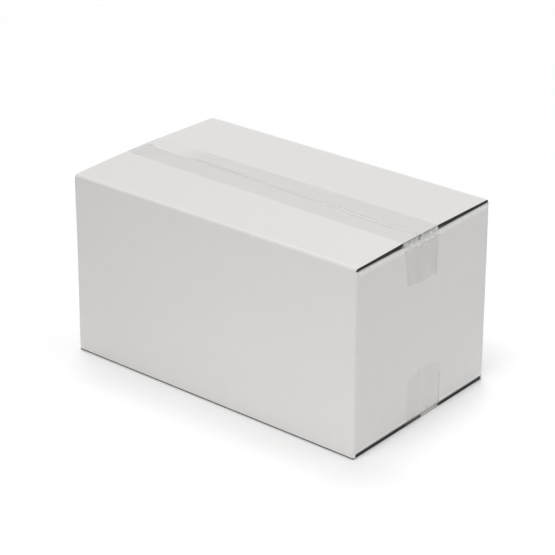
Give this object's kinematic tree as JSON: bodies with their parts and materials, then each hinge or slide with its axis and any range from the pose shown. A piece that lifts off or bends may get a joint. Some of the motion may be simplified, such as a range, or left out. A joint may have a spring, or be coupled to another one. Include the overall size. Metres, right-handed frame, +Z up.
{
  "type": "corrugated shipping carton",
  "caption": "Closed corrugated shipping carton with slotted corners, flaps that meet along the top and bottom, and clear packing tape over both seams and down the ends.",
  "frame": {"origin": "middle of the foot, on the surface that the carton stands on", "axes": "+X along the length, +Y across the width to the back, +Z up"},
  "size_m": [0.34, 0.2, 0.1876],
  "materials": {
    "white_board": "white bleached paper facing on corrugated board, matte",
    "clear_tape": "clear glossy film with a faint grey cast"
  },
  "bodies": {
    "root": {"carton": "white_board", "top_tape": "clear_tape", "bottom_tape": "clear_tape"}
  },
  "joints": []
}
